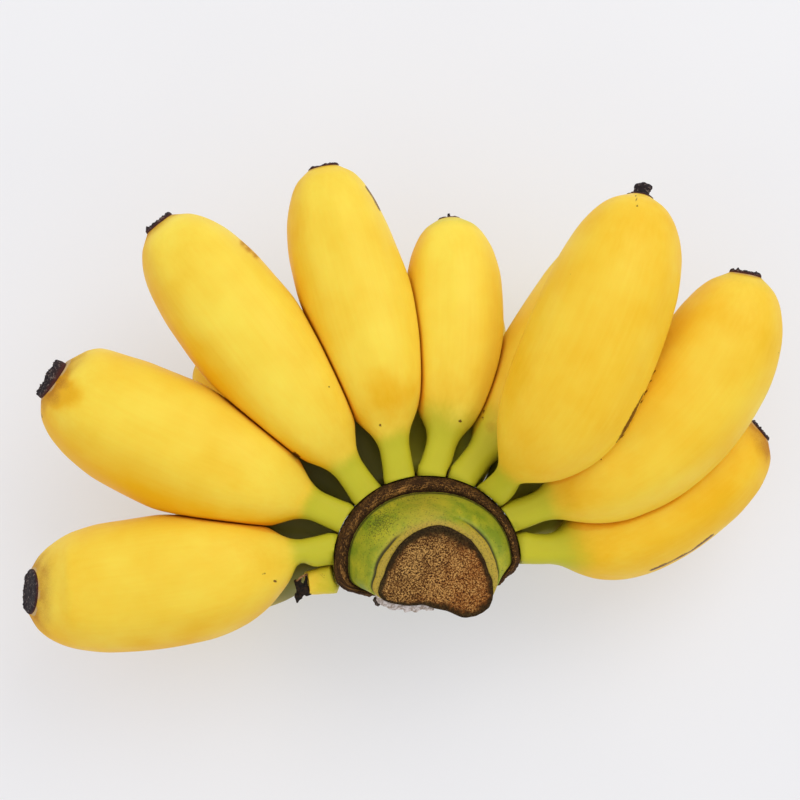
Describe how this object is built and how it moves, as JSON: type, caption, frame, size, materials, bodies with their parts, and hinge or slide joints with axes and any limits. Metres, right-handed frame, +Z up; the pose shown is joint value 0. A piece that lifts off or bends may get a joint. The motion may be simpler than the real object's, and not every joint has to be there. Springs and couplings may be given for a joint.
{
  "type": "hand of bananas",
  "caption": "Hand of small, plump ripe bananas on one crown, lying with the cut end up; green stems, dark blossom ends, a fruit to eat or display.",
  "frame": {"origin": "on the ground, under the middle of the hand's box", "axes": "+X to the right along the fan's width, seen from the cut end of the crown; +Y from the crown towards the tips of the middle fruits; +Z up"},
  "size_m": [0.227, 0.146, 0.1004],
  "materials": {
    "peel": "smooth waxy ripe peel, satin, green towards the stem",
    "crown": "matte green cushion with a corky brown ring and a fibrous brown cut",
    "stem": "snapped green-yellow stem with a torn, pale end"
  },
  "bodies": {
    "root": {"crown": "crown", "broken_stem": "stem", "finger_01": "peel", "finger_02": "peel", "finger_03": "peel", "finger_04": "peel", "finger_05": "peel", "finger_06": "peel", "finger_07": "peel", "finger_08": "peel", "finger_09": "peel", "lower_finger_01": "peel", "lower_finger_02": "peel", "lower_finger_03": "peel", "lower_finger_04": "peel", "lower_finger_05": "peel", "lower_finger_06": "peel", "lower_finger_07": "peel", "lower_finger_08": "peel"}
  },
  "joints": []
}
